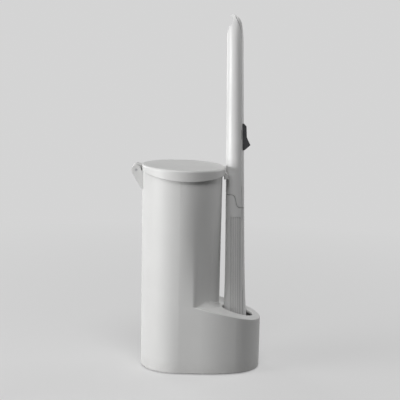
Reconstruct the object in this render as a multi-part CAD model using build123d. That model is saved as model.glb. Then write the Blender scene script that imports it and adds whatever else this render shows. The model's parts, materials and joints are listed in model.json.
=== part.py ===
from build123d import *
import os
from math import atan2, cos, degrees, exp, pi, radians, sin, sqrt, tan

# Toilet brush holder: refill column with hinged lid, cup with slanted deck, and a clamp wand.
# Millimetres. +Z up, +X from the column towards the cup, floor at z = 0, origin below the middle.

# Caddy shell
COLUMN_RADIUS = 43.0        # outside of the column at the floor
DRAFT_DEG = 0.25            # all outer walls widen upwards
WALL = 2.8
SHELL_BOTTOM = 1.2          # the shell stands this far above the floor, on the pads
BASE_THICKNESS = 2.8
COLUMN_HEIGHT = 224.8       # top of the closed lid above the column axis
BRIM = 3.5                  # deck between column and hole
HOLE_RADIUS = 16.8          # round hole in the deck
RIM_WIDTH = 8.6             # deck between hole and nose
NOSE_TUCK = 4.0             # the nose of the cup is this much tighter than the column
CUP_STRAIGHT = 25.0         # straight part of the cup's sides, from the column axis
DECK_HEIGHT = 63.8          # deck height at the axis of the hole
DECK_SLOPE_DEG = 14.4
DECK_THICKNESS = 3.0
PAD_RADIUS = 6.0
PAD_SINK = 0.6              # depth of the pad seats in the base plate
PAD_ANGLE_DEG = 50.0        # direction of each pad from its end's axis
EDGE_ROUND = 1.1            # broken outer edges of deck, hole and foot
SCOOP_DEPTH = 5.6           # the column is drawn in on both sides of the wand, most at the floor
SCOOP_LEAN = 0.85           # below 1 the deepest line of the scoop lies nearer the front
PARTING_STEP = 0.05         # the scooped half of the column is set back at the mould's parting line
FIT_GAP = 0.2               # around pieces that are pressed or snapped in

# Lid and hinge
LID_OVERHANG = 2.02         # lid edge beyond the top of the column
LID_SHIFT = 1.3             # lid centre lies this far towards the cup
LID_SLOPE_DEG = 1.16        # lid falls towards the thumb lip
LID_PLATE = 2.2
LID_EDGE_ROUND = 2.4
NECK_STEP = 1.1             # the skirt drops over a neck set back by this much
SKIRT_GAP = 0.4
SKIRT_DEPTH = 12.4          # deepest point of the curved skirt below the lid top
SKIRT_ARC_RADIUS = 227.0
SKIRT_LOWEST_X = 11.5       # from the column axis
PLUG_DEPTH = 6.6            # inner ring of the lid, from the middle of its plate
PLUG_WALL = 1.6
PLUG_OPENING = 0.6          # the ring is left out beyond this share of the radius, to swing past the rim
LIP_REACH = 4.2             # thumb lip beyond the lid edge
LIP_HALF_WIDTH = 6.0
LIP_TOP_DROP = 5.6          # from the lid top to the top of the lip
LIP_HEIGHT = 7.8
LIP_NOSE = 0.9              # rounding of the lip's edge
HINGE_REACH = 5.9           # hinge axis beyond the column wall
HINGE_DROP = 5.0            # hinge axis below the lid top
HINGE_RADIUS = 5.2
HINGE_PIN_RADIUS = 1.5
KNUCKLE_HALF_WIDTH = 7.4
LUG_WIDTH = 5.0
LUG_DROP = 20.5             # foot of the lug gusset below the hinge axis
LUG_ROOT = 1.5              # the lugs and the lip are sunk this far into what carries them
RUN_GAP = 0.4               # between pieces that pass each other
PIN_FIT = 0.03              # radial play of a pin in a fixed hole
PIN_RUN = 0.06              # radial play of a pin in a turning hole

# Wand, heights along its own axis from its foot
WAND_LENGTH = 384.8
MOUTH_HEIGHT = 45.0         # lower end of the shank
GRIP_HALF_WIDTH = 9.0
GRIP_HALF_DEPTH = 9.1
WIDTH_TAPER = 0.0068
DEPTH_TAPER = 0.004
FLARE_WIDTH = 2.5
FLARE_DEPTH = 1.6
FLARE_LENGTH = 25.0
WAND_WALL = 2.2
TIP_LENGTH = 31.0           # length of the hooked tip
TIP_CUT = 1.16              # the tip's outline starts at this share of its length below the top
TIP_PLUG = 10.0             # solid length below the tip
STRIP_DEPTH = 2.8           # thickness of the strips set into the outer face
SEAM_GAP = 0.3              # between the strips and the wand
JOINT_GAP = 0.5             # between grip and shank
JOINT_BELOW_TIP = 204.0     # middle of the S-shaped joint
JOINT_RISE = 7.2            # half height of the S
JOINT_RUN = 5.5             # half width of the S
JOINT_SHIFT = 1.2
FLUTE_WIDTH = 1.2
FLUTE_DEPTH = 0.65
FLUTE_PITCH = 2.4
FLUTE_GAP = 17.8            # from the joint down to the top of the flutes
FLUTE_COUNT = 5
FLUTE_START = -4.2          # first flute, from the wand axis
LEAN_SIDE_DEG = 1.19        # top of the wand leans towards the column
WAND_LEFT_PLAY = 1.4        # wand axis stands this far off the hole centre at the floor
WAND_FRONT_PLAY = 2.0       # foot of the wand in front of the middle plane
LIP_CLEARANCE = 0.8         # between wand and thumb lip
STAND_GAP = 0.3             # between the closed jaws and the floor of the cup

# Slider, rods and spring
SLIDER_TRAVEL = 10.0
SLIDER_RISE = 55.7          # foot of the slider above the joint
SLIDER_LENGTH = 29.1
SLIDER_HALF_WIDTH = 5.4
SLIDER_PLATE = 3.1          # height of the flat part above the wand
SLIDER_PEAK = 7.2           # height of the thumb ledge above the wand
LEDGE_RISE = 5.6            # thumb ledge above the foot of the slider
PLATE_RISE = 14.8           # flat part above the foot of the slider
SLIDER_ROUND = 0.7
NECK_RISE = 11.9            # neck in the slot above the foot of the slider
NECK_LENGTH = 10.0
NECK_HALF_WIDTH = 2.3
CARRIAGE_WIDTH = 7.0
CARRIAGE_MARGIN = 3.0       # carriage beyond the neck, above and below
ROD_RADIUS = 2.2
ROD_HOLD = 5.0              # length of the rod inside the carriage
SOCKET_WALL = 1.2
SOCKET_LENGTH = 18.0        # socket on the lower rod for the upper one
SOCKET_DEPTH = 11.0
SOCKET_DROP = 2.8           # mouth of the socket below the joint
SEAT_RISE = 19.2            # spring seat above the joint
SPRING_LENGTH = 32.0
SPRING_RADIUS = 3.6
SPRING_WIRE = 0.45
SPRING_TURNS = 9
COLLAR_HEIGHT = 3.0
COLLAR_FLANGE = 1.4
SLEEVE_WALL = 1.6
SLEEVE_DROP = 22.8          # foot of the coupling sleeve below the joint
BULKHEAD = 3.0

# Clamp
PIVOT_RISE = 6.0            # jaw pins above the mouth
PIVOT_OFFSET = 4.0
PIVOT_BARREL = 3.2
CLAMP_PIN_RADIUS = 1.3
CAM_RISE = 18.0             # cross pin above the jaw pins
CAM_PLATE = 2.8
CAM_RIM = 1.7               # material around the cam slot
JAW_OPEN_DEG = 10.0
JAW_HALF_WIDTH = 6.0
JAW_BULGE = 7.6
JAW_ROOT = 6.4
JAW_TIP = 5.4
JAW_NOSE = 1.2              # slant at the tip of each jaw
JAW_GAP = 0.6               # between each lining and the middle when closed
JAW_ROUND = 1.0
BLADE_HALF = 2.2
BLADE_WIDTH = 5.2
BLADE_MARGIN = 3.0          # blade below the cross pin
YOKE_RISE = 11.0            # top of the yoke above the cross pin
YOKE_ROOF = 6.0
PIN_HOLD = 2.6              # length of the jaw pins inside each side of the yoke
LINING = 2.0
LINING_FOOT = 3.0
TOOTH_COUNT = 8
TOOTH_PITCH = 3.0
TOOTH_DEPTH = 0.8

# Sizes that follow from the ones above
OVERSIZE = 1.2 * WAND_LENGTH
TOP_RADIUS = COLUMN_RADIUS + COLUMN_HEIGHT * tan(radians(DRAFT_DEG))
LID_RADIUS = TOP_RADIUS + LID_OVERHANG
HOLE_X = COLUMN_RADIUS + BRIM + HOLE_RADIUS
NOSE_RADIUS = COLUMN_RADIUS - NOSE_TUCK
NOSE_X = HOLE_X + HOLE_RADIUS + RIM_WIDTH - NOSE_RADIUS
SIDE_RADIUS = ((NOSE_X - CUP_STRAIGHT) ** 2 + COLUMN_RADIUS ** 2 - NOSE_RADIUS ** 2) / (2 * NOSE_TUCK)
BASE_TOP = SHELL_BOTTOM + BASE_THICKNESS
HINGE_X = -(TOP_RADIUS + HINGE_REACH)
HINGE_Z = COLUMN_HEIGHT - HINGE_DROP
COLUMN_X = -(NOSE_X + NOSE_RADIUS + HINGE_X - HINGE_RADIUS) / 2
SHOULDER = WAND_LENGTH - TIP_LENGTH
JOINT_HEIGHT = WAND_LENGTH - JOINT_BELOW_TIP
FLUTE_TOP = JOINT_HEIGHT - FLUTE_GAP
SLIDER_FOOT = JOINT_HEIGHT + SLIDER_RISE
NECK_FOOT = SLIDER_FOOT + NECK_RISE
SPRING_SEAT = JOINT_HEIGHT + SEAT_RISE
SOCKET_TOP = JOINT_HEIGHT - SOCKET_DROP
SOCKET_FOOT = SOCKET_TOP - SOCKET_LENGTH
PIVOT_HEIGHT = MOUTH_HEIGHT + PIVOT_RISE
CROSS_PIN_HEIGHT = PIVOT_HEIGHT + CAM_RISE
YOKE_TOP = CROSS_PIN_HEIGHT + YOKE_RISE
UPPER_BULKHEAD = SOCKET_FOOT - SLIDER_TRAVEL - BULKHEAD
LOWER_BULKHEAD = (YOKE_TOP + UPPER_BULKHEAD) / 2


def column_radius(z):
    return COLUMN_RADIUS + z * tan(radians(DRAFT_DEG))


def tapered_column(inset, bottom, top):
    low = column_radius(bottom) - inset
    high = column_radius(top) - inset
    return Pos(0, 0, (bottom + top) / 2) * Cone(low, high, top - bottom)


def left_half(inset, bottom, top):
    return split(tapered_column(inset, bottom, top), bisect_by=Plane.YZ, keep=Keep.BOTTOM)


def scoop(turn, z):
    # turn runs from 0 at the front of the column to 1 at its side towards the wand
    fade = (1 + cos(pi * min(z / COLUMN_HEIGHT, 1))) / 2
    return SCOOP_DEPTH * fade * sin(pi * turn ** SCOOP_LEAN) ** 2


def scooped_section(inset, z):
    steps = 8
    points = []
    for i in range(-steps, steps + 1):
        angle = pi / 2 * i / steps
        reach = column_radius(z) - PARTING_STEP - inset - scoop(1 - abs(i) / steps, z)
        points.append((reach * cos(angle), reach * sin(angle)))
    curve = Spline(*points, tangents=((1, 0), (-1, 0)))
    return Pos(0, 0, z) * make_face(curve + Line(points[-1], points[0]))


def scooped_half(inset, bottom, top):
    steps = 5
    return loft([scooped_section(inset, bottom + (top - bottom) * i / steps) for i in range(steps + 1)])


def cup_sides(grow):
    half = COLUMN_RADIUS + grow
    middle = SIDE_RADIUS - COLUMN_RADIUS
    turn = degrees(atan2(NOSE_X - CUP_STRAIGHT, middle))
    line = Line((0, -half), (CUP_STRAIGHT, -half))
    front = CenterArc((CUP_STRAIGHT, middle), SIDE_RADIUS + grow, -90, turn)
    nose = CenterArc((NOSE_X, 0), NOSE_RADIUS + grow, turn - 90, 180 - 2 * turn)
    back = CenterArc((CUP_STRAIGHT, -middle), SIDE_RADIUS + grow, 90 - turn, turn)
    return line + front + nose + back + Line((CUP_STRAIGHT, half), (0, half))


def base_prism(inset, bottom, top):
    grow = column_radius(bottom) - COLUMN_RADIUS - inset
    outline = make_face(cup_sides(grow) + CenterArc((0, 0), COLUMN_RADIUS + grow, 90, 180))
    return Pos(0, 0, bottom) * extrude(outline, top - bottom, taper=-DRAFT_DEG)


def deck_plane():
    slope = radians(DECK_SLOPE_DEG)
    normal = (sin(slope), 0, cos(slope))
    return Plane(origin=(HOLE_X, 0, DECK_HEIGHT), x_dir=(cos(slope), 0, -sin(slope)), z_dir=normal)


def below(shape, plane):
    return split(shape, bisect_by=plane, keep=Keep.BOTTOM)


def lid_pose():
    return Pos(0, 0, COLUMN_HEIGHT) * Rot(0, LID_SLOPE_DEG, 0)


def skirt_arc(grow):
    radius = SKIRT_ARC_RADIUS + grow
    middle = COLUMN_HEIGHT - SKIRT_DEPTH + SKIRT_ARC_RADIUS
    return Pos(SKIRT_LOWEST_X, 0, middle) * Rot(90, 0, 0) * Cylinder(radius, OVERSIZE)


def pin_along_y(radius, length):
    return Pos(HINGE_X, 0, HINGE_Z) * Rot(90, 0, 0) * Cylinder(radius, length)


def hinge_lugs():
    foot = HINGE_Z - LUG_DROP
    inside = -(COLUMN_RADIUS - LUG_ROOT)
    web = make_face(Polyline(
        (inside, foot),
        (-TOP_RADIUS, foot),
        (HINGE_X - HINGE_RADIUS, HINGE_Z - HINGE_RADIUS / 3),
        (HINGE_X, HINGE_Z),
        (inside, HINGE_Z),
        close=True,
    ))
    side = web + Pos(HINGE_X, HINGE_Z) * Circle(HINGE_RADIUS)
    middle = KNUCKLE_HALF_WIDTH + RUN_GAP + LUG_WIDTH / 2
    lug = extrude(Plane.XZ * side, LUG_WIDTH / 2, both=True)
    return Pos(0, middle, 0) * lug + Pos(0, -middle, 0) * lug


def lid_room():
    top = lid_pose() * Pos(LID_SHIFT, 0, 0) * Cylinder(LID_RADIUS + 2 * RUN_GAP, 4 * SKIRT_DEPTH)
    neck = Pos(0, 0, COLUMN_HEIGHT) * Cylinder(TOP_RADIUS - NECK_STEP, OVERSIZE)
    return (top & skirt_arc(RUN_GAP)) - neck


def edges_clear_of_column(face):
    return [edge for edge in face.edges() if edge.center().X > EDGE_ROUND]


def cup_block():
    half = column_radius(SHELL_BOTTOM)
    outline = make_face(cup_sides(half - COLUMN_RADIUS) + Line((0, half), (0, -half)))
    prism = Pos(0, 0, SHELL_BOTTOM) * extrude(outline, 2 * DECK_HEIGHT, taper=-DRAFT_DEG)
    block = below(split(prism, bisect_by=Plane.YZ, keep=Keep.TOP), deck_plane())
    block = fillet(edges_clear_of_column(block.faces().sort_by(Axis.Z)[-1]), EDGE_ROUND)
    return fillet(edges_clear_of_column(block.faces().sort_by(Axis.Z)[0]), EDGE_ROUND)


def outside():
    top = COLUMN_HEIGHT + HINGE_RADIUS
    column = left_half(0, SHELL_BOTTOM, top)
    foot = column.edges().filter_by(GeomType.CIRCLE).sort_by(Axis.Z)[0]
    body = fillet(foot, EDGE_ROUND) + (scooped_half(0, DECK_HEIGHT / 2, top) + cup_block())
    body = body - Pos(HOLE_X, 0, DECK_HEIGHT) * Cylinder(HOLE_RADIUS, DECK_HEIGHT)
    hole_edge = [edge for edge in body.edges().filter_by(GeomType.ELLIPSE) if edge.is_closed]
    return fillet(hole_edge, EDGE_ROUND) + hinge_lugs()


def rim_cut():
    rim = LID_PLATE + RUN_GAP
    above = lid_pose() * Pos(0, 0, OVERSIZE / 2 - rim) * Box(OVERSIZE, 2 * LID_RADIUS, OVERSIZE)
    hinge_side = HINGE_X + HINGE_REACH - RUN_GAP
    return above - Pos(hinge_side - OVERSIZE / 2, 0, 0) * Box(OVERSIZE, OVERSIZE, 2 * OVERSIZE)


def caddy_shell():
    top = COLUMN_HEIGHT + 2 * HINGE_RADIUS
    refill_space = left_half(WALL, BASE_TOP, top) + scooped_half(WALL, BASE_TOP, top)
    ceiling = deck_plane().offset(-DECK_THICKNESS)
    cup_space = below(base_prism(WALL, BASE_TOP, 2 * DECK_HEIGHT), ceiling)
    cup_space = cup_space - left_half(0, SHELL_BOTTOM, top) - scooped_half(0, SHELL_BOTTOM, top)
    plate_space = base_prism(WALL, 0, BASE_TOP)
    body = outside() - refill_space - cup_space - plate_space
    body = body - lid_room() - rim_cut()
    return body - pin_along_y(HINGE_PIN_RADIUS + PIN_FIT, OVERSIZE)


def pad_places():
    angle = radians(PAD_ANGLE_DEG)
    places = []
    for end, way, radius in ((0, -1, COLUMN_RADIUS), (NOSE_X, 1, NOSE_RADIUS)):
        reach = radius - 2 * WALL - PAD_RADIUS
        places += [(end + way * reach * cos(angle), side * reach * sin(angle)) for side in (-1, 1)]
    return places


def base_plate():
    plate = base_prism(WALL + FIT_GAP, SHELL_BOTTOM, BASE_TOP)
    for x, y in pad_places():
        plate = plate - Pos(x, y, SHELL_BOTTOM) * Cylinder(PAD_RADIUS + FIT_GAP, 2 * PAD_SINK)
    return plate


def foot_pads():
    height = SHELL_BOTTOM + PAD_SINK
    pad = Pos(0, 0, height / 2) * Cylinder(PAD_RADIUS, height)
    return Compound([Pos(x, y, 0) * pad for x, y in pad_places()])


def thumb_lip():
    root = LID_RADIUS + LID_SHIFT
    inside = root - LUG_ROOT
    tip = root + LIP_REACH
    top = -LIP_TOP_DROP
    bottom = top - LIP_HEIGHT
    under = (tip - LIP_NOSE, bottom)
    over = (tip - LIP_NOSE / 4, bottom + 2 * LIP_NOSE)
    outline = Polyline((inside, top), (inside, bottom), under)
    outline += ThreePointArc(under, (tip, bottom + LIP_NOSE), over)
    outline += ThreePointArc(over, (root + 0.62 * LIP_REACH, top - LIP_HEIGHT / 3), (inside, top))
    profile = extrude(Plane.XZ * make_face(outline), LIP_HALF_WIDTH, both=True)
    middle = lip_middle()
    plan = Pos(middle, 0) * Circle(LIP_HALF_WIDTH)
    plan = plan + Pos(middle - LIP_HALF_WIDTH, 0) * Rectangle(2 * LIP_HALF_WIDTH, 2 * LIP_HALF_WIDTH)
    return profile & extrude(plan, OVERSIZE, both=True)


def lip_middle():
    return LID_RADIUS + LID_SHIFT + LIP_REACH - LIP_HALF_WIDTH


def lid():
    disc = Pos(LID_SHIFT, 0, -SKIRT_DEPTH) * Cylinder(LID_RADIUS, 2 * SKIRT_DEPTH)
    disc = fillet(disc.edges().sort_by(Axis.Z)[-1], LID_EDGE_ROUND)
    neck_room = Cylinder(TOP_RADIUS - NECK_STEP + SKIRT_GAP, OVERSIZE)
    shell = disc - Pos(0, 0, -LID_PLATE - OVERSIZE / 2) * neck_room
    plug_radius = column_radius(COLUMN_HEIGHT - PLUG_DEPTH) - WALL - RUN_GAP
    plug = Cylinder(plug_radius, PLUG_DEPTH) - Cylinder(plug_radius - PLUG_WALL, PLUG_DEPTH)
    hinge_side = Pos(-PLUG_OPENING * plug_radius - OVERSIZE / 2, 0, 0) * Box(OVERSIZE, OVERSIZE, OVERSIZE)
    plug = plug - hinge_side
    top = lid_pose() * shell & skirt_arc(0)
    top = top + lid_pose() * Pos(0, 0, -PLUG_DEPTH / 2 - LID_PLATE / 2) * plug
    top = top + lid_pose() * thumb_lip()
    arm_right = -(TOP_RADIUS - NECK_STEP + 2 * SKIRT_GAP)
    arm = Pos((HINGE_X + arm_right) / 2, 0, HINGE_Z + HINGE_RADIUS / 2)
    arm = arm * Box(arm_right - HINGE_X, 2 * KNUCKLE_HALF_WIDTH, HINGE_RADIUS)
    knuckle = pin_along_y(HINGE_RADIUS, 2 * KNUCKLE_HALF_WIDTH) + arm
    return top + knuckle - pin_along_y(HINGE_PIN_RADIUS + PIN_RUN, OVERSIZE)


def hinge_pin():
    return pin_along_y(HINGE_PIN_RADIUS, 2 * (KNUCKLE_HALF_WIDTH + RUN_GAP + LUG_WIDTH))


def wand_half_width(z):
    flare = FLARE_WIDTH * exp((MOUTH_HEIGHT - z) / FLARE_LENGTH)
    return GRIP_HALF_WIDTH + WIDTH_TAPER * (SHOULDER - z) + flare


def wand_half_depth(z):
    flare = FLARE_DEPTH * exp((MOUTH_HEIGHT - z) / FLARE_LENGTH)
    return GRIP_HALF_DEPTH + DEPTH_TAPER * (SHOULDER - z) + flare


def wand_section(z, inset):
    return Pos(0, 0, z) * Ellipse(wand_half_width(z) - inset, wand_half_depth(z) - inset)


def wand_form(inset, bottom, top, steps):
    return loft([wand_section(z, inset) for z in section_heights(bottom, top, steps)])


def section_heights(bottom, top, steps):
    # closer together near the flared lower end
    return [bottom + (top - bottom) * (i / steps) ** 1.6 for i in range(steps + 1)]


def wand_outside():
    sections = [wand_section(z, 0) for z in section_heights(MOUTH_HEIGHT, SHOULDER, 7)]
    for part in (0.4, 0.7, 0.9, 1.03):
        depth = wand_half_depth(SHOULDER) * sqrt(1 - (part / 1.1) ** 2)
        crown = Ellipse(wand_half_width(SHOULDER), depth)
        sections.append(Pos(0, 0, SHOULDER + part * TIP_LENGTH) * crown)
    return loft(sections)


def tip_point(across, down):
    # shares of the half width and of the tip length, the second from the top
    return (across * GRIP_HALF_WIDTH, WAND_LENGTH - down * TIP_LENGTH)


def tip_outline():
    tip = tip_point(-0.322, 0)
    back = tip_point(1.107, TIP_CUT)
    cheek = tip_point(0.814, 0.374)
    hook = tip_point(-0.554, 0.081)
    notch_end = tip_point(-0.429, 0.358)
    throat = tip_point(-0.927, 0.606)
    front = tip_point(-1.107, TIP_CUT)
    back_edge = ThreePointArc(back, tip_point(0.989, 0.774), cheek)
    crown = TangentArc([cheek, tip], tangent=back_edge % 1)
    point = ThreePointArc(tip, tip_point(-0.508, 0.023), hook)
    notch = ThreePointArc(hook, tip_point(-0.294, 0.223), notch_end)
    brow = ThreePointArc(notch_end, tip_point(-0.768, 0.471), throat)
    outline = back_edge + crown + point + notch + brow + Polyline(throat, front, back)
    return make_face(outline)


def wand_solid():
    foot = WAND_LENGTH - TIP_CUT * TIP_LENGTH
    block = Pos(0, 0, foot + OVERSIZE / 2) * Box(OVERSIZE, OVERSIZE, OVERSIZE)
    hooked = extrude(Plane.XZ * tip_outline(), OVERSIZE, both=True)
    return wand_outside() - (block - hooked)


def slab(bottom, top):
    return Pos(0, 0, (bottom + top) / 2) * Box(OVERSIZE, OVERSIZE, top - bottom)


def rod_bore(radius, bottom, top):
    return Pos(0, 0, (bottom + top) / 2) * Cylinder(radius, top - bottom)


def wand_shell():
    cavity = wand_form(WAND_WALL, MOUTH_HEIGHT - WAND_WALL, SHOULDER - TIP_PLUG, 7)
    for top in (LOWER_BULKHEAD, UPPER_BULKHEAD, SPRING_SEAT):
        cavity = cavity - slab(top - BULKHEAD, top)
    bore = rod_bore(ROD_RADIUS + RUN_GAP, YOKE_TOP, SPRING_SEAT + BULKHEAD)
    return wand_solid() - cavity - bore


def joint_region(gap):
    low = JOINT_HEIGHT + gap
    middle = JOINT_SHIFT + gap
    left = (middle - JOINT_RUN, low + JOINT_RISE)
    right = (middle + JOINT_RUN, low - JOINT_RISE)
    wave = Spline(left, (middle, low), right, tangents=((1, 0), (1, 0)))
    far = OVERSIZE / 2
    outline = wave + Polyline(right, (far, right[1]), (far, 2 * far), (-far, 2 * far), (-far, left[1]), left)
    return extrude(Plane.XZ * make_face(outline), OVERSIZE, both=True)


def strip_region():
    above_flare = MOUTH_HEIGHT + 2.2 * FLARE_LENGTH
    x_high = wand_half_width(SHOULDER) - STRIP_DEPTH
    x_low = wand_half_width(above_flare) - STRIP_DEPTH
    x_foot = x_low + (x_low - x_high) * above_flare / (SHOULDER - above_flare)
    shoulder = (x_high, SHOULDER)
    crown = tip_point(0.05, 0.12)
    far = OVERSIZE / 2
    outline = ThreePointArc(shoulder, tip_point(0.58, 0.5), crown)
    outline += Polyline(crown, tip_point(-0.2, -0.1), (far, OVERSIZE), (far, 0), (x_foot, 0), shoulder)
    return extrude(Plane.XZ * make_face(outline), OVERSIZE, both=True)


def inner_part(shape):
    return shape - strip_region()


def strip_part(shape):
    return shape & (Pos(SEAM_GAP, 0, SEAM_GAP) * strip_region())


def flutes():
    foot = MOUTH_HEIGHT - FLUTE_WIDTH
    above_skin = wand_form(-FLUTE_DEPTH, foot, FLUTE_TOP, 5)
    core = wand_form(FLUTE_DEPTH, foot - FLUTE_WIDTH, FLUTE_TOP + FLUTE_WIDTH, 5)
    cut = Pos(FLUTE_START, 0, FLUTE_TOP / 2) * Box(FLUTE_WIDTH, OVERSIZE, FLUTE_TOP)
    return [(above_skin - core) & (Pos(i * FLUTE_PITCH, 0, 0) * cut) for i in range(FLUTE_COUNT)]


def slider_slot():
    bottom = NECK_FOOT - SLIDER_TRAVEL - RUN_GAP
    top = NECK_FOOT + NECK_LENGTH + RUN_GAP
    width = 2 * (NECK_HALF_WIDTH + RUN_GAP)
    return Pos(OVERSIZE / 2, 0, (bottom + top) / 2) * Box(OVERSIZE, width, top - bottom)


def grip_body(shell):
    return inner_part(shell & joint_region(0))


def grip_cover(shell):
    return strip_part(shell & joint_region(0)) - slider_slot()


def shank_body(shell):
    body = inner_part(shell - joint_region(-JOINT_GAP))
    for flute in flutes():
        body = body - flute
    return body


def shank_cover(shell):
    return strip_part(shell - joint_region(-JOINT_GAP))


def coupling_sleeve():
    bottom = JOINT_HEIGHT - SLEEVE_DROP
    top = SPRING_SEAT - BULKHEAD - FIT_GAP
    outer = wand_form(WAND_WALL + FIT_GAP, bottom, top, 2)
    inside = WAND_WALL + FIT_GAP + SLEEVE_WALL
    return outer - wand_form(inside, bottom - SLEEVE_WALL, top + SLEEVE_WALL, 2)


def slider_profile():
    skin = wand_half_width(SLIDER_FOOT)
    foot = SLIDER_FOOT
    top = SLIDER_FOOT + SLIDER_LENGTH
    ledge = (skin + SLIDER_PEAK, foot + LEDGE_RISE)
    ramp_foot = (skin + SLIDER_PLATE, foot + PLATE_RISE)
    ramp_x = skin + SLIDER_PLATE + 0.42 * (SLIDER_PEAK - SLIDER_PLATE)
    ramp_middle = (ramp_x, foot + (LEDGE_RISE + PLATE_RISE) / 2)
    plate_top = (skin + SLIDER_PLATE - SLIDER_ROUND / 2, top - SLIDER_PLATE)
    outline = Polyline((0, top), (0, foot), (skin + SLIDER_ROUND, foot), ledge)
    outline += ThreePointArc(ledge, ramp_middle, ramp_foot)
    outline += Polyline(ramp_foot, plate_top, (skin, top), (0, top))
    return make_face(outline)


def thumb_slider():
    body = extrude(Plane.XZ * slider_profile(), SLIDER_HALF_WIDTH, both=True)
    outer = [edge for edge in body.edges() if edge.center().X > wand_half_width(SLIDER_FOOT) + SLIDER_ROUND]
    body = fillet(outer, SLIDER_ROUND)
    body = body - wand_form(-RUN_GAP, SLIDER_FOOT - SLIDER_LENGTH, SLIDER_FOOT + 2 * SLIDER_LENGTH, 2)
    neck_root = carriage_face()
    neck_top = wand_half_width(NECK_FOOT) + SLIDER_PLATE / 2
    neck = Pos((neck_root + neck_top) / 2, 0, NECK_FOOT + NECK_LENGTH / 2)
    return body + neck * Box(neck_top - neck_root, 2 * NECK_HALF_WIDTH, NECK_LENGTH)


def carriage_face():
    return wand_half_width(NECK_FOOT) - STRIP_DEPTH - 2.5 * RUN_GAP


def slider_carriage():
    bottom = NECK_FOOT - CARRIAGE_MARGIN
    top = NECK_FOOT + NECK_LENGTH + CARRIAGE_MARGIN
    back = -ROD_RADIUS - SOCKET_WALL
    front = carriage_face()
    block = Pos((back + front) / 2, 0, (bottom + top) / 2) * Box(front - back, CARRIAGE_WIDTH, top - bottom)
    return block - rod_bore(ROD_RADIUS + PIN_FIT, SPRING_SEAT, bottom + ROD_HOLD)


def push_rod_upper():
    return rod_bore(ROD_RADIUS, SOCKET_TOP - SOCKET_DEPTH + FIT_GAP, NECK_FOOT - CARRIAGE_MARGIN + ROD_HOLD)


def spring_collar():
    bottom = SPRING_SEAT + SPRING_LENGTH
    collar = rod_bore(SPRING_RADIUS + COLLAR_FLANGE, bottom, bottom + COLLAR_HEIGHT)
    return collar - rod_bore(ROD_RADIUS + PIN_FIT, SPRING_SEAT, bottom + 2 * COLLAR_HEIGHT)


def return_spring():
    rise = SPRING_LENGTH - 2 * SPRING_WIRE - 2 * PIN_RUN
    start = SPRING_SEAT + SPRING_WIRE + PIN_RUN
    path = Pos(0, 0, start) * Helix(rise / SPRING_TURNS, rise, SPRING_RADIUS)
    wire = Plane(origin=path @ 0, z_dir=path % 0) * Circle(SPRING_WIRE)
    return sweep(wire, path=path, is_frenet=True)


def push_rod_lower():
    socket_floor = SOCKET_TOP - SOCKET_DEPTH
    rod = rod_bore(ROD_RADIUS, YOKE_TOP, socket_floor)
    socket = rod_bore(ROD_RADIUS + SOCKET_WALL, SOCKET_FOOT, SOCKET_TOP)
    socket = socket - rod_bore(ROD_RADIUS + PIN_FIT, socket_floor, SOCKET_TOP + SOCKET_DEPTH)
    blade_foot = CROSS_PIN_HEIGHT - BLADE_MARGIN
    blade_top = YOKE_TOP + BLADE_MARGIN
    blade = Box(2 * BLADE_HALF, BLADE_WIDTH, blade_top - blade_foot)
    return rod + socket + Pos(0, 0, (blade_foot + blade_top) / 2) * blade - cross_pin_bore(PIN_FIT)


def cross_pin_bore(play):
    return Pos(0, 0, CROSS_PIN_HEIGHT) * Rot(0, 90, 0) * Cylinder(CLAMP_PIN_RADIUS + play, OVERSIZE)


def cross_pin():
    return cross_pin_bore(0) & Box(2 * (BLADE_HALF + RUN_GAP + CAM_PLATE), OVERSIZE, OVERSIZE)


def pivot(y, radius, half_length):
    return Pos(0, y, PIVOT_HEIGHT) * Rot(0, 90, 0) * Cylinder(radius, 2 * half_length)


def jaw_pins():
    half_length = JAW_HALF_WIDTH + PIN_HOLD
    return Compound([pivot(y, CLAMP_PIN_RADIUS, half_length) for y in (-PIVOT_OFFSET, PIVOT_OFFSET)])


def jaw_yoke():
    plug = wand_form(WAND_WALL + FIT_GAP, MOUTH_HEIGHT + WAND_WALL, YOKE_TOP, 3)
    opening = Box(2 * (JAW_HALF_WIDTH + RUN_GAP), OVERSIZE, OVERSIZE)
    passage = Box(2 * (BLADE_HALF + RUN_GAP), BLADE_WIDTH + 2 * RUN_GAP, OVERSIZE)
    yoke = plug - Pos(0, 0, YOKE_TOP - YOKE_ROOF - OVERSIZE / 2) * opening - passage
    for y in (-PIVOT_OFFSET, PIVOT_OFFSET):
        yoke = yoke - pivot(y, CLAMP_PIN_RADIUS + PIN_FIT, OVERSIZE)
    return yoke


def cam_point(share):
    travel = share * SLIDER_TRAVEL
    turn = radians(share * JAW_OPEN_DEG)
    y = -PIVOT_OFFSET
    z = CROSS_PIN_HEIGHT - travel - PIVOT_HEIGHT
    return (PIVOT_OFFSET + y * cos(turn) + z * sin(turn), PIVOT_HEIGHT - y * sin(turn) + z * cos(turn))


def jaw_finger():
    inner = JAW_GAP + LINING
    return make_face(Polyline(
        (inner, JAW_NOSE),
        (inner + JAW_NOSE, 0),
        (JAW_TIP - JAW_NOSE, 0),
        (JAW_TIP, JAW_NOSE),
        (JAW_BULGE, 0.53 * MOUTH_HEIGHT),
        (JAW_ROOT, MOUTH_HEIGHT),
        (JAW_ROOT, PIVOT_HEIGHT),
        (inner, PIVOT_HEIGHT),
        close=True,
    ))


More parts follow.
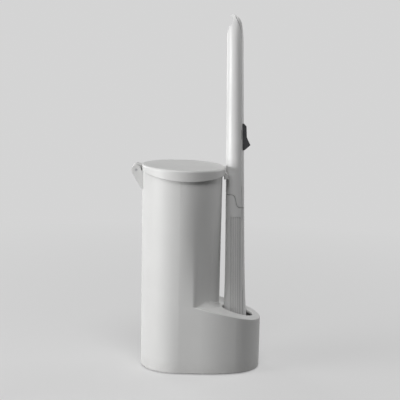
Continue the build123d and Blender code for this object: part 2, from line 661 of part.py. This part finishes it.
def jaw(side):
    block = extrude(Plane.YZ * jaw_finger(), JAW_HALF_WIDTH, both=True)
    long_edges = [edge for edge in block.edges().filter_by(Plane.YZ) if edge.length > LINING_FOOT]
    block = fillet([edge for edge in long_edges if edge.center().Y > JAW_TIP], JAW_ROUND)
    block = block + pivot(PIVOT_OFFSET, PIVOT_BARREL, JAW_HALF_WIDTH)
    path = ThreePointArc(cam_point(0), cam_point(0.5), cam_point(1))
    slot = SlotArc(path, 2 * (CLAMP_PIN_RADIUS + FIT_GAP))
    band = SlotArc(path, 2 * (CLAMP_PIN_RADIUS + FIT_GAP + CAM_RIM))
    heel = (PIVOT_OFFSET + PIVOT_BARREL, PIVOT_HEIGHT)
    web = make_face(Polyline(cam_point(1), cam_point(0.6), heel, (PIVOT_OFFSET, PIVOT_HEIGHT), close=True))
    beside_blade = Pos(BLADE_HALF + RUN_GAP, 0, 0)
    block = block + beside_blade * extrude(Plane.YZ * (band + web), CAM_PLATE)
    block = block - beside_blade * extrude(Plane.YZ * slot, CAM_PLATE)
    block = block - pivot(PIVOT_OFFSET, CLAMP_PIN_RADIUS + PIN_RUN, OVERSIZE)
    return block if side > 0 else Rot(0, 0, 180) * block


def jaw_lining(side):
    top = LINING_FOOT + TOOTH_COUNT * TOOTH_PITCH
    root = JAW_GAP + TOOTH_DEPTH
    outline = [(JAW_GAP + LINING, LINING_FOOT), (JAW_GAP + LINING, top), (root, top)]
    for i in range(TOOTH_COUNT):
        z = top - i * TOOTH_PITCH
        outline += [(JAW_GAP, z - 0.4 * TOOTH_PITCH), (root, z - TOOTH_PITCH)]
    profile = Plane.YZ * make_face(Polyline(*outline, close=True))
    lining = extrude(profile, JAW_HALF_WIDTH - RUN_GAP, both=True)
    return lining if side > 0 else Rot(0, 0, 180) * lining


def wand_pose():
    foot_x = HOLE_X - WAND_LEFT_PLAY
    lip_height = COLUMN_HEIGHT - LIP_TOP_DROP - LIP_HEIGHT / 2 - BASE_TOP
    mouth_x = foot_x - MOUTH_HEIGHT * tan(radians(LEAN_SIDE_DEG))
    mouth = (wand_half_width(MOUTH_HEIGHT) + wand_half_depth(MOUTH_HEIGHT)) / 2
    apart = LIP_HALF_WIDTH + mouth + LIP_CLEARANCE
    aside = sqrt(max(apart ** 2 - (mouth_x - lip_middle()) ** 2, 0))
    lean_back = atan2(aside + WAND_FRONT_PLAY, lip_height)
    dip = JAW_HALF_WIDTH * sin(radians(LEAN_SIDE_DEG)) + (JAW_TIP - JAW_NOSE) * sin(lean_back)
    foot = Pos(foot_x, -WAND_FRONT_PLAY, BASE_TOP + STAND_GAP + dip)
    return foot * Rot(-degrees(lean_back), 0, 0) * Rot(0, -LEAN_SIDE_DEG, 0)


def build():
    shell = wand_shell()
    caddy = {
        "caddy_shell": caddy_shell(),
        "base_plate": base_plate(),
        "foot_pads": foot_pads(),
        "hinge_pin": hinge_pin(),
        "lid": lid(),
    }
    wand = {
        "grip_body": grip_body(shell),
        "grip_cover": grip_cover(shell),
        "shank_body": shank_body(shell),
        "shank_cover": shank_cover(shell),
        "coupling_sleeve": coupling_sleeve(),
        "thumb_slider": thumb_slider(),
        "slider_carriage": slider_carriage(),
        "push_rod_upper": push_rod_upper(),
        "spring_collar": spring_collar(),
        "return_spring": return_spring(),
        "push_rod_lower": push_rod_lower(),
        "cross_pin": cross_pin(),
        "jaw_yoke": jaw_yoke(),
        "jaw_pins": jaw_pins(),
        "jaw_front": jaw(-1),
        "jaw_back": jaw(1),
        "jaw_front_grip": jaw_lining(-1),
        "jaw_back_grip": jaw_lining(1),
    }
    placed = {name: Pos(COLUMN_X, 0, 0) * shape for name, shape in caddy.items()}
    for name, shape in wand.items():
        placed[name] = Pos(COLUMN_X, 0, 0) * wand_pose() * shape
    return placed


os.makedirs("parts", exist_ok=True)
for name, shape in build().items():
    export_step(shape, "parts/" + name + ".step")
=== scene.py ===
import json
from math import cos, pi, radians, sin, tan

import bpy
from mathutils import Euler, Matrix, Vector


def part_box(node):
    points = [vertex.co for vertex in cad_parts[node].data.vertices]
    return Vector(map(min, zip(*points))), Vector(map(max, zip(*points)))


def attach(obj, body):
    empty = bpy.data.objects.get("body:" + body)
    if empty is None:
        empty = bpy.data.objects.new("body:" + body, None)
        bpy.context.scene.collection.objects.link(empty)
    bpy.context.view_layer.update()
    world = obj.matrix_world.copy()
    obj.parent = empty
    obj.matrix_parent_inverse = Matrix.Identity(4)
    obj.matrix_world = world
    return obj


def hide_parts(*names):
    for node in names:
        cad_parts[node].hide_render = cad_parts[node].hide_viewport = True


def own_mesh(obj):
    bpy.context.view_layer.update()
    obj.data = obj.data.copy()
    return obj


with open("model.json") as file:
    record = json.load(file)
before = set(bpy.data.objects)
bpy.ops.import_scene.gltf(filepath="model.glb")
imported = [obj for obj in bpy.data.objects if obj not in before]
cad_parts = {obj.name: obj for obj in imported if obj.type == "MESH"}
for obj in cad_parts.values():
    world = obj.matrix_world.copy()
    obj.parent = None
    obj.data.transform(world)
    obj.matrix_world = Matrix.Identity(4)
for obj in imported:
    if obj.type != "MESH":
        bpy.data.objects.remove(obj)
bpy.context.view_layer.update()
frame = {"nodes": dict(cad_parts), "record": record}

NODES = frame["nodes"]

# Camera, from the picture's own perspective
CAMERA_PLACE = Vector((0.02681, -1.35188, 0.40472))
CAMERA_AIM = Vector((-0.01743, 0.98699, -0.15951))
CAMERA_ROLL = 0.0196
LENS_MM = 112.3
SENSOR_MM = 36.0

# Lamps: name, place, width and height in metres, watts
LAMP_AIM = Vector((0.0, 0.0, 0.18))
LAMPS = (
    ("key_left", (-1.64, -0.68, 0.32), 1.1, 0.55, 24.5),
    ("fill_front", (0.10, -1.00, 1.85), 1.0, 1.0, 16.0),
    ("rim_right", (1.30, 0.80, 0.55), 0.8, 0.8, 5.5),
    ("back_soft", (-1.10, 1.30, 0.60), 0.8, 0.8, 6.0),
)
AMBIENT = 0.05

# Floor, in metres, and the share of it that is backdrop at two distances from the object
FLOOR_REACH = 14.0
FADE_DISTANCES = (0.2, 0.9)
FADE_SHARES = (0.55, 1.0)

# Colours, linear
CADDY_WHITE = (0.80, 0.80, 0.79)
WAND_WHITE = (0.84, 0.84, 0.835)
INNER_WHITE = (0.70, 0.71, 0.72)
SLIDER_GREY = (0.035, 0.036, 0.039)
STEEL_GREY = (0.60, 0.60, 0.61)
PAD_GREY = (0.075, 0.075, 0.077)
LINING_GREY = (0.12, 0.12, 0.125)
DUST_GREY = (0.52, 0.51, 0.49)
FLOOR_PALE = (0.92, 0.92, 0.92)
FLOOR_BOUNCE = (0.06, 0.06, 0.06)
BACKDROP_PALE = (0.66, 0.66, 0.66)
AMBIENT_WHITE = (1.0, 1.0, 1.0)
# painted shade: the strip along the wand's side is made darker than the body, for its side turned from the
# light
STRIP_PAINTED_SHADE = 0.97

# Shares of a colour in its darkest and palest spots
CLOUD_SHADES = (0.965, 1.0)
SLIDER_SHADES = (0.8, 1.15)
STEEL_SHADES = (0.86, 1.0)
RUBBER_SHADES = (1.0, 1.5)
FLOOR_SHADES = (0.985, 1.0)

# Roughness in the smoothest and roughest spots, for plastic as a change of its own
PLASTIC_CHANGE = (-0.05, 0.06)
SLIDER_ROUGHNESS = (0.50, 0.64)
STEEL_ROUGHNESS = (0.24, 0.38)
RUBBER_ROUGHNESS = (0.68, 0.84)

# Ranges of noise that are stretched over a whole effect
NOISE_MIDDLE = (0.3, 0.7)
NOISE_UPPER = (0.35, 0.75)
WHOLE = (0.0, 1.0)

# Stretch of rub marks along the height, and of streaks in steel along the width
RUB_STRETCH = (1.0, 1.0, 0.25)
STREAK_STRETCH = (0.06, 1.0, 1.0)

# Dust near the floor, from full to none between these heights in metres, in thin and full patches
DUST_HEIGHTS = (0.001, 0.016)
DUST_PATCHES = (0.2, 1.0)

# Moulded edges look rounded by this radius, in metres
EDGE_SOFTNESS = 0.0004
EDGE_SAMPLES = 6

# Painted shade in seams and grooves narrower than this, in metres
CREVICE_REACH = 0.0016
CREVICE_RANGE = (0.35, 0.95)
PAINTED_CREVICE_SHADE = 0.70
CREVICE_SAMPLES = 8

# Column of the caddy, in metres, with its scoop on front and back
COLUMN_X = -0.01681
COLUMN_RADIUS = 0.043
COLUMN_HEIGHT = 0.2248
COLUMN_DRAFT = tan(radians(0.25))
SCOOP_DEPTH = 0.0056
SCOOP_LEAN = 0.85  # below 1 the deepest point lies nearer to the front

# Deck of the cup, in metres, the hole measured from the column's axis
DECK_AT_HOLE = 0.0638
DECK_SLOPE = tan(radians(14.4))
HOLE_X = 0.0633

# Ridge on the column, in metres: the front stays full up to it, and a facet falls into the scoop behind it
RIDGE_TURN = radians(21.8)  # from the front, at the ridge's foot
RIDGE_SLANT = radians(8.0)  # further round at its top
RIDGE_END = radians(52.0)  # where the facet meets the scoop
RIDGE_LAP = radians(5.0)  # side edges run on by this under the skin
RIDGE_SOFTNESS = 0.003
JOIN_SOFTNESS = 0.0012
RIDGE_TOP = 0.205
RIDGE_TOP_RUN = 0.02  # the top edge goes under the skin along this height
RIDGE_FOOT = 0.075
RIDGE_FADE = 0.11  # the ridge runs out from here up to its top
RIDGE_ROOT = 0.003  # the lower edge runs on by this under the deck
RIDGE_SINK = 0.0004  # depth of the edges under the skin
RIDGE_UNDER_SKIN = 0.00002  # depth where the ridge has run out
RIDGE_CORE_DEPTH = 0.0012  # depth of the piece's own back
RIDGE_COLUMNS = 56
RIDGE_ROWS = 60

# Cove between the column's wall and the deck, in metres
COVE_RISE = 0.0075
COVE_REACH = 0.0045
COVE_START = radians(23.0)  # from the front
COVE_FULL = radians(46.0)  # full size here
COVE_AT_BRIM = 0.5  # share of its size at the brim of the hole
COVE_SINK = 0.00006  # depth of its edges under the skin
COVE_CORE_DEPTH = 0.001  # depth of the piece's own back
COVE_STEPS = 120
COVE_CLIMBS = 14

# Return spring of the slider, in metres
SPRING_LENGTH = 0.032
SPRING_RADIUS = 0.0036
WIRE_RADIUS = 0.00045
SPRING_TURNS = 9.0
SPRING_PLAY = 0.00006  # gap at each end
END_CLOSING = 0.5  # share by which the turns lie closer at the ends
COLLAR_HEIGHT = 0.003
POINTS_PER_TURN = 28
WIRE_SIDES = 10


def placed(name, data):
    thing = bpy.data.objects.new(name, data)
    bpy.context.scene.collection.objects.link(thing)
    return thing


# Helpers for node trees
def feed(tree, socket, source):
    if isinstance(source, bpy.types.NodeSocket):
        tree.links.new(source, socket)
    elif socket.type == "RGBA":
        socket.default_value = (*source, 1.0)
    else:
        socket.default_value = source


def feed_named(tree, node, **sources):
    for name, source in sources.items():
        feed(tree, node.inputs[name.replace("_", " ")], source)
    return node


def feed_in_order(tree, node, *sources):
    for socket, source in zip(node.inputs, sources):
        feed(tree, socket, source)
    return node.outputs[0]


def linked(tree, kind, **sources):
    return feed_named(tree, tree.nodes.new(kind), **sources)


def arithmetic(tree, operation, *sources):
    node = tree.nodes.new("ShaderNodeMath")
    node.operation = operation
    return feed_in_order(tree, node, *sources)


def shader_of(name):
    material = bpy.data.materials.new(name)
    material.use_nodes = True
    return material, material.node_tree, material.node_tree.nodes["Principled BSDF"]


def object_place(tree, stretch=(1.0, 1.0, 1.0)):
    place = tree.nodes.new("ShaderNodeTexCoord").outputs["Object"]
    return linked(tree, "ShaderNodeMapping", Vector=place, Scale=stretch).outputs["Vector"]


def noise(tree, place, waves, detail=2.0, rough=0.5):
    # waves are counted per metre
    texture = linked(tree, "ShaderNodeTexNoise", Vector=place, Scale=waves, Detail=detail, Roughness=rough)
    return texture.outputs["Fac"]


def remap(tree, value, before, after):
    change = linked(tree, "ShaderNodeMapRange", Value=value)
    feed_named(tree, change, From_Min=before[0], From_Max=before[1])
    feed_named(tree, change, To_Min=after[0], To_Max=after[1])
    return change.outputs["Result"]


def between(tree, share, first, second):
    mix = linked(tree, "ShaderNodeMix", Factor=share)
    mix.data_type = "RGBA"
    sockets = [socket for socket in mix.inputs if socket.type == "RGBA"]
    for socket, colour in zip(sockets, (first, second)):
        feed(tree, socket, colour)
    return [socket for socket in mix.outputs if socket.type == "RGBA"][0]


def darker(colour, share):
    return tuple(share * part for part in colour)


def shaded(tree, share, colour, shades):
    return between(tree, share, darker(colour, shades[0]), darker(colour, shades[1]))


def raised(tree, height, strength, depth, **under):
    bump = linked(tree, "ShaderNodeBump", Height=height, Strength=strength, Distance=depth, **under)
    return bump.outputs["Normal"]


def broken_edges(tree):
    bevel = linked(tree, "ShaderNodeBevel", Radius=EDGE_SOFTNESS)
    bevel.samples = EDGE_SAMPLES
    return bevel.outputs["Normal"]


# share of open surroundings at a spot: low in seams and grooves, where the colour gets painted shade
def openness(tree):
    around = linked(tree, "ShaderNodeAmbientOcclusion", Distance=CREVICE_REACH)
    around.samples = CREVICE_SAMPLES
    return remap(tree, around.outputs["AO"], CREVICE_RANGE, WHOLE)


# Finishes
def dusty(tree, place, tint, dust):
    height = linked(tree, "ShaderNodeSeparateXYZ", Vector=place).outputs["Z"]
    low = remap(tree, height, DUST_HEIGHTS, (dust, 0.0))
    patches = remap(tree, noise(tree, place, waves=140.0, detail=4.0, rough=0.6), NOISE_UPPER, DUST_PATCHES)
    return between(tree, arithmetic(tree, "MULTIPLY", low, patches), tint, DUST_GREY)


def plastic_relief(tree, place, grain):
    waviness = noise(tree, place, waves=30.0, detail=1.0)
    swell = raised(tree, waviness, strength=0.10, depth=0.0006, Normal=broken_edges(tree))
    return raised(tree, noise(tree, place, waves=2600.0), strength=grain, depth=0.00008, Normal=swell)


def moulded_plastic(name, colour, roughness, grain, dust=0.0):
    material, tree, shader = shader_of(name)
    place = object_place(tree)
    cloud = remap(tree, noise(tree, place, waves=22.0, detail=3.0), NOISE_MIDDLE, WHOLE)
    tint = shaded(tree, cloud, colour, CLOUD_SHADES)
    if dust:
        tint = dusty(tree, place, tint, dust)
    # painted shade: seams, grooves and flutes darkened by how closely other surfaces hem them in
    tint = between(tree, openness(tree), darker(colour, PAINTED_CREVICE_SHADE), tint)
    rubbed = noise(tree, object_place(tree, RUB_STRETCH), waves=90.0, detail=5.0, rough=0.65)
    limits = [roughness + change for change in PLASTIC_CHANGE]
    uneven = remap(tree, rubbed, NOISE_MIDDLE, limits)
    relief = plastic_relief(tree, place, grain)
    feed_named(tree, shader, Base_Color=tint, Roughness=uneven, Normal=relief, Specular_IOR_Level=0.42)
    return material


def soft_touch(name, colour):
    material, tree, shader = shader_of(name)
    place = object_place(tree)
    cloud = remap(tree, noise(tree, place, waves=160.0, detail=4.0), NOISE_MIDDLE, WHOLE)
    tint = shaded(tree, cloud, colour, SLIDER_SHADES)
    uneven = remap(tree, noise(tree, place, waves=420.0, detail=3.0), NOISE_MIDDLE, SLIDER_ROUGHNESS)
    relief = raised(tree, noise(tree, place, waves=3200.0, detail=3.0), strength=0.35, depth=0.00012)
    feed_named(tree, shader, Base_Color=tint, Roughness=uneven, Normal=relief, Specular_IOR_Level=0.38)
    return material


def drawn_steel(name):
    material, tree, shader = shader_of(name)
    streaks = noise(tree, object_place(tree, STREAK_STRETCH), waves=2400.0, detail=3.0)
    tint = shaded(tree, streaks, STEEL_GREY, STEEL_SHADES)
    uneven = remap(tree, streaks, NOISE_MIDDLE, STEEL_ROUGHNESS)
    relief = raised(tree, streaks, strength=0.12, depth=0.00005)
    feed_named(tree, shader, Base_Color=tint, Roughness=uneven, Normal=relief, Metallic=1.0)
    return material


def rubber(name, colour):
    material, tree, shader = shader_of(name)
    place = object_place(tree)
    bloom = remap(tree, noise(tree, place, waves=240.0, detail=4.0, rough=0.6), NOISE_UPPER, WHOLE)
    tint = shaded(tree, bloom, colour, RUBBER_SHADES)
    uneven = remap(tree, bloom, WHOLE, RUBBER_ROUGHNESS)
    relief = raised(tree, noise(tree, place, waves=1900.0, detail=3.0), strength=0.4, depth=0.00015)
    feed_named(tree, shader, Base_Color=tint, Roughness=uneven, Normal=relief, Specular_IOR_Level=0.3)
    return material


def give(material, *names):
    for name in names:
        slots = NODES[name].data.materials
        slots.clear()
        slots.append(material)


def dress_caddy():
    satin = moulded_plastic("caddy_satin_white", CADDY_WHITE, roughness=0.46, grain=0.10, dust=0.35)
    give(satin, "caddy_shell", "lid", "base_plate")
    give(rubber("pad_rubber", PAD_GREY), "foot_pads")
    column_ridges(satin)
    deck_cove(satin)


def dress_wand():
    body = moulded_plastic("wand_white", WAND_WHITE, roughness=0.36, grain=0.06)
    # the strip's darker colour is painted shade for its side turned from the light
    strip = moulded_plastic("wand_strip_white", darker(WAND_WHITE, STRIP_PAINTED_SHADE), roughness=0.42, grain=0.08)
    inner = moulded_plastic("inner_pale_grey", INNER_WHITE, roughness=0.5, grain=0.12)
    give(body, "grip_body", "shank_body")
    give(strip, "grip_cover", "shank_cover")
    give(inner, "coupling_sleeve", "slider_carriage", "push_rod_upper", "push_rod_lower")
    give(inner, "jaw_yoke", "jaw_front", "jaw_back")
    give(soft_touch("slider_charcoal", SLIDER_GREY), "thumb_slider")
    give(rubber("lining_rubber", LINING_GREY), "jaw_front_grip", "jaw_back_grip")


def dress_metal():
    steel = drawn_steel("drawn_steel")
    give(steel, "hinge_pin", "jaw_pins", "cross_pin", "spring_collar")
    return_spring(steel)


# Column, deck and the forms on them
def column_radius(z):
    return COLUMN_RADIUS + z * COLUMN_DRAFT


def scoop_fade(z):
    return (1 + cos(pi * min(z / COLUMN_HEIGHT, 1))) / 2


def scooped_radius(turn, z):
    share = min(max(turn / (pi / 2), 0.0), 1.0)
    return column_radius(z) - SCOOP_DEPTH * scoop_fade(z) * sin(pi * share ** SCOOP_LEAN) ** 2


def deck_at(x):
    return DECK_AT_HOLE + (HOLE_X - x) * DECK_SLOPE


def deck_height(turn):
    return deck_at(COLUMN_RADIUS * sin(turn))


def eased(value, start, end):
    way = min(max((value - start) / (end - start), 0.0), 1.0)
    return way * way * (3 - 2 * way)


def past(value, limit, run):
    return max((value - limit) / run, 0.0) ** 2


def soft_least(first, second, softness):
    overlap = max(softness - abs(first - second), 0.0)
    return min(first, second) - overlap ** 2 / (4 * softness)


def on_column(turn, radius, z):
    return (COLUMN_X + radius * sin(turn), -radius * cos(turn), z)


def add_moulding(name, vertices, faces, material):
    mesh = bpy.data.meshes.new(name)
    mesh.from_pydata(vertices, [], faces)
    mesh.polygons.foreach_set("use_smooth", [True] * len(faces))
    mesh.materials.append(material)
    piece = placed(name, mesh)
    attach(piece, "caddy")


# Ridge on front and back of the column
def ridge_height(z):
    return (z - RIDGE_FOOT) / (RIDGE_TOP - RIDGE_FOOT)


def full_radius(turn, z):
    flatness = (1 - ridge_height(z)) ** 3
    return column_radius(z) * (1 + min(flatness, 1.0) * (1 / cos(turn) - 1))


def chord_radius(turn, z):
    # straight from the ridge to where it meets the floor of the scoop
    ridge = RIDGE_TURN + RIDGE_SLANT * ridge_height(z)
    first = full_radius(ridge, z)
    last = scooped_radius(RIDGE_END, z)
    area = first * last * sin(RIDGE_END - ridge)
    return area / (first * sin(turn - ridge) + last * sin(RIDGE_END - turn))


def edge_sink(turn, z):
    # all four edges run in under the skin of the column
    sides = past(-turn, 0, RIDGE_LAP) + past(turn, RIDGE_END, RIDGE_LAP)
    top = past(z, RIDGE_TOP - RIDGE_TOP_RUN, RIDGE_TOP_RUN)
    foot = past(-z, -deck_height(turn), RIDGE_ROOT)
    return RIDGE_SINK * (sides + top + foot) + RIDGE_UNDER_SKIN


def ridge_radius(turn, z):
    inside = scooped_radius(turn, z)
    facet = -soft_least(-chord_radius(turn, z), -inside, JOIN_SOFTNESS)
    outer = soft_least(full_radius(turn, z), facet, RIDGE_SOFTNESS)
    share = 1 - eased(z, RIDGE_FADE, RIDGE_TOP)
    return inside + share * (outer - inside) - edge_sink(turn, z)


def ridge_core(turn, z):
    return scooped_radius(turn, z) - RIDGE_CORE_DEPTH


def ridge_point(turn, rise, radius_of):
    foot = deck_height(turn) - RIDGE_ROOT
    z = foot + rise * (RIDGE_TOP - foot)
    return on_column(turn, radius_of(turn, z), z)


def ridge_sheet(radius_of):
    width = RIDGE_END + 2 * RIDGE_LAP
    turns = [width * i / RIDGE_COLUMNS - RIDGE_LAP for i in range(RIDGE_COLUMNS + 1)]
    rises = [j / RIDGE_ROWS for j in range(RIDGE_ROWS + 1)]
    return [ridge_point(turn, rise, radius_of) for rise in rises for turn in turns]


def sheet_faces(start):
    stride = RIDGE_COLUMNS + 1
    corners = [start + j * stride + i for j in range(RIDGE_ROWS) for i in range(RIDGE_COLUMNS)]
    return [(corner, corner + 1, corner + stride + 1, corner + stride) for corner in corners]


def sheet_outline():
    stride = RIDGE_COLUMNS + 1
    below = list(range(RIDGE_COLUMNS))
    right = [j * stride + RIDGE_COLUMNS for j in range(RIDGE_ROWS)]
    above = [RIDGE_ROWS * stride + i for i in range(RIDGE_COLUMNS, 0, -1)]
    left = [j * stride for j in range(RIDGE_ROWS, 0, -1)]
    return below + right + above + left


def rim_faces(outer, inner):
    outline = sheet_outline()
    pairs = zip(outline, outline[1:] + outline[:1])
    return [(outer + here, inner + here, inner + there, outer + there) for here, there in pairs]


def turned_over(faces):
    return [face[::-1] for face in faces]


def column_ridges(material):
    front = ridge_sheet(ridge_radius) + ridge_sheet(ridge_core)
    back = [(x, -y, z) for x, y, z in front]
    inner = len(front) // 2
    shell = sheet_faces(0) + turned_over(sheet_faces(inner)) + rim_faces(0, inner)
    mirrored = [tuple(len(front) + corner for corner in face) for face in turned_over(shell)]
    add_moulding("column_ridges", front + back, shell + mirrored, material)


# Cove round the foot of the column
def from_front(turn):
    return min(turn, pi - turn)


def wall_radius(turn, z):
    inside = scooped_radius(turn, z)
    return max(inside, ridge_radius(turn, z)) if turn < RIDGE_END else inside


def cove_size(turn):
    # grows along the facet and shrinks again at the narrow brim of the hole
    at_brim = eased(turn, COVE_FULL, pi / 2)
    return eased(turn, COVE_START, COVE_FULL) * (1 + at_brim * (COVE_AT_BRIM - 1))


def cove_point(turn, climb):
    # both edges of the cove end a little under the skin they run into
    side = from_front(turn)
    rise = COVE_RISE * cove_size(side) * (1 - cos(climb * pi / 2))
    reach = COVE_REACH * cove_size(side) * (1 - sin(climb * pi / 2))
    radius = wall_radius(side, deck_height(side) + rise) + reach - COVE_SINK * climb ** 4
    deck = deck_at(radius * sin(turn)) - COVE_SINK * (1 - climb) ** 4
    return on_column(turn, radius, deck + rise)


def cove_corner(turn):
    side = from_front(turn)
    z = deck_height(side) - COVE_CORE_DEPTH
    return on_column(turn, scooped_radius(side, z) - COVE_CORE_DEPTH, z)


def cove_section(turn):
    arc = [cove_point(turn, j / COVE_CLIMBS) for j in range(COVE_CLIMBS + 1)]
    return arc + [cove_corner(turn)]


def deck_cove(material):
    sweep = pi - 2 * COVE_START
    sections = [cove_section(COVE_START + sweep * i / COVE_STEPS) for i in range(COVE_STEPS + 1)]
    ring = len(sections[0])
    vertices = [point for section in sections for point in section]
    faces = [tuple(range(ring)), tuple(range(len(vertices) - ring, len(vertices)))[::-1]]
    for start in range(0, COVE_STEPS * ring, ring):
        for j in range(ring):
            here = start + j
            beside = start + (j + 1) % ring
            faces.append((here, here + ring, beside + ring, beside))
    add_moulding("deck_cove", vertices, faces, material)


# Return spring in the wand
def coil_line(tree, size):
    ends = {"Start_Radius": size["Radius"], "End_Radius": size["Radius"]}
    turns = {"Resolution": POINTS_PER_TURN, "Rotations": size["Turns"], "Height": size["Rise"]}
    helix = linked(tree, "GeometryNodeCurveSpiral", **turns, **ends)
    # the turns lie closer together towards both ends
    way = tree.nodes.new("GeometryNodeSplineParameter").outputs["Factor"]
    wave = arithmetic(tree, "SINE", arithmetic(tree, "MULTIPLY", way, 2 * pi))
    share = arithmetic(tree, "MULTIPLY", size["Closing"], -1 / (2 * pi))
    shift = arithmetic(tree, "MULTIPLY", wave, arithmetic(tree, "MULTIPLY", share, size["Rise"]))
    upward = linked(tree, "ShaderNodeCombineXYZ", Z=shift).outputs[0]
    return linked(tree, "GeometryNodeSetPosition", Geometry=helix.outputs[0], Offset=upward).outputs[0]


def coil_tree(material):
    tree = bpy.data.node_groups.new("coil_spring", "GeometryNodeTree")
    for name in ("Turns", "Radius", "Rise", "Wire", "Closing"):
        tree.interface.new_socket(name, in_out="INPUT", socket_type="NodeSocketFloat")
    tree.interface.new_socket("Geometry", in_out="OUTPUT", socket_type="NodeSocketGeometry")
    size = tree.nodes.new("NodeGroupInput").outputs
    line = coil_line(tree, size)
    wire = linked(tree, "GeometryNodeCurvePrimitiveCircle", Resolution=WIRE_SIDES, Radius=size["Wire"])
    tube = linked(tree, "GeometryNodeCurveToMesh", Curve=line, Profile_Curve=wire.outputs[0], Fill_Caps=True)
    smooth = linked(tree, "GeometryNodeSetShadeSmooth", Geometry=tube.outputs[0])
    whole = linked(tree, "GeometryNodeRealizeInstances", Geometry=smooth.outputs[0])
    finish = linked(tree, "GeometryNodeSetMaterial", Geometry=whole.outputs[0], Material=material)
    linked(tree, "NodeGroupOutput", Geometry=finish.outputs[0])
    return tree


def coil_mesh(material, sizes):
    tree = coil_tree(material)
    maker = placed("coil_maker", bpy.data.meshes.new("coil_maker"))
    modifier = maker.modifiers.new("coil", "NODES")
    modifier.node_group = tree
    for socket in tree.interface.items_tree:
        if socket.in_out == "INPUT":
            modifier[socket.identifier] = sizes[socket.name]
    made = maker.evaluated_get(bpy.context.evaluated_depsgraph_get())
    mesh = bpy.data.meshes.new_from_object(made)
    bpy.data.objects.remove(maker)
    return mesh


def joint_named(name):
    joints = frame["record"]["behaviour"]["joints"]
    return next(joint for joint in joints if joint["name"] == name)


def return_spring(material):
    press = joint_named("slider_press")
    up = -Vector(press["axis"]).normalized()
    low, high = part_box("spring_collar")
    top = (Vector(low) + Vector(high)) / 2 - up * COLLAR_HEIGHT / 2
    seat = top - up * SPRING_LENGTH
    end_room = WIRE_RADIUS + SPRING_PLAY
    sizes = {
        "Turns": SPRING_TURNS,
        "Radius": SPRING_RADIUS,
        "Rise": SPRING_LENGTH - 2 * end_room,
        "Wire": WIRE_RADIUS,
        "Closing": END_CLOSING,
    }
    mesh = coil_mesh(material, sizes)
    upright = up.to_track_quat("Z", "Y").to_matrix().to_4x4()
    mesh.transform(Matrix.Translation(seat + up * end_room) @ upright)
    piece = placed("return_spring_coil", mesh)
    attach(piece, "wand")
    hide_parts("return_spring")
    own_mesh(piece)


# Stage
def seen_directly(tree):
    path = tree.nodes.new("ShaderNodeLightPath").outputs
    mirrored = arithmetic(tree, "MAXIMUM", path["Is Glossy Ray"], path["Is Transmission Ray"])
    return arithmetic(tree, "MAXIMUM", path["Is Camera Ray"], mirrored)


def glow(tree, kind, colour):
    return linked(tree, kind, Color=colour, Strength=1.0).outputs[0]


def blend_shaders(tree, share, first, second):
    return feed_in_order(tree, tree.nodes.new("ShaderNodeMixShader"), share, first, second)


def floor_material():
    # pale to the eye and in reflections, dark to other bounces, and one with the backdrop far away
    material, tree, shader = shader_of("floor_pale")
    seen = seen_directly(tree)
    place = object_place(tree)
    pale = shaded(tree, noise(tree, place, waves=3.0, detail=3.0), FLOOR_PALE, FLOOR_SHADES)
    colour = between(tree, seen, FLOOR_BOUNCE, pale)
    feed_named(tree, shader, Base_Color=colour, Roughness=0.7, Specular_IOR_Level=0.2)
    away = tree.nodes.new("ShaderNodeVectorMath")
    away.operation = "LENGTH"
    tree.links.new(place, away.inputs[0])
    far = remap(tree, away.outputs["Value"], FADE_DISTANCES, FADE_SHARES)
    share = arithmetic(tree, "MULTIPLY", far, seen)
    backdrop = glow(tree, "ShaderNodeEmission", BACKDROP_PALE)
    surface = blend_shaders(tree, share, shader.outputs[0], backdrop)
    tree.links.new(surface, tree.nodes["Material Output"].inputs["Surface"])
    return material


def floor():
    reach = FLOOR_REACH
    corners = [(-reach, -reach, 0), (reach, -reach, 0), (reach, reach, 0), (-reach, reach, 0)]
    mesh = bpy.data.meshes.new("floor")
    mesh.from_pydata(corners, [], [(0, 1, 2, 3)])
    mesh.materials.append(floor_material())
    placed("floor", mesh)


def lamp(name, place, width, height, watts):
    light = bpy.data.lights.new(name, "AREA")
    light.shape = "ELLIPSE"
    light.size = width
    light.size_y = height
    light.energy = watts
    holder = placed(name, light)
    holder.location = place
    holder.rotation_euler = (LAMP_AIM - Vector(place)).to_track_quat("-Z", "Y").to_euler()


def backdrop():
    world = bpy.data.worlds.new("studio")
    bpy.context.scene.world = world
    world.use_nodes = True
    tree = world.node_tree
    ambient = feed_named(tree, tree.nodes["Background"], Color=AMBIENT_WHITE, Strength=AMBIENT)
    pale = glow(tree, "ShaderNodeBackground", BACKDROP_PALE)
    sky = blend_shaders(tree, seen_directly(tree), ambient.outputs[0], pale)
    tree.links.new(sky, tree.nodes["World Output"].inputs["Surface"])


def camera():
    view = bpy.data.cameras.new("view")
    view.lens = LENS_MM
    view.sensor_width = SENSOR_MM
    holder = placed("view", view)
    holder.location = CAMERA_PLACE
    turn = CAMERA_AIM.to_track_quat("-Z", "Y") @ Euler((0, 0, CAMERA_ROLL)).to_quaternion()
    holder.rotation_euler = turn.to_euler()
    bpy.context.scene.camera = holder


camera()
for lamp_sizes in LAMPS:
    lamp(*lamp_sizes)
backdrop()
floor()
dress_caddy()
dress_wand()
dress_metal()
bpy.context.scene.view_settings.view_transform = "Standard"
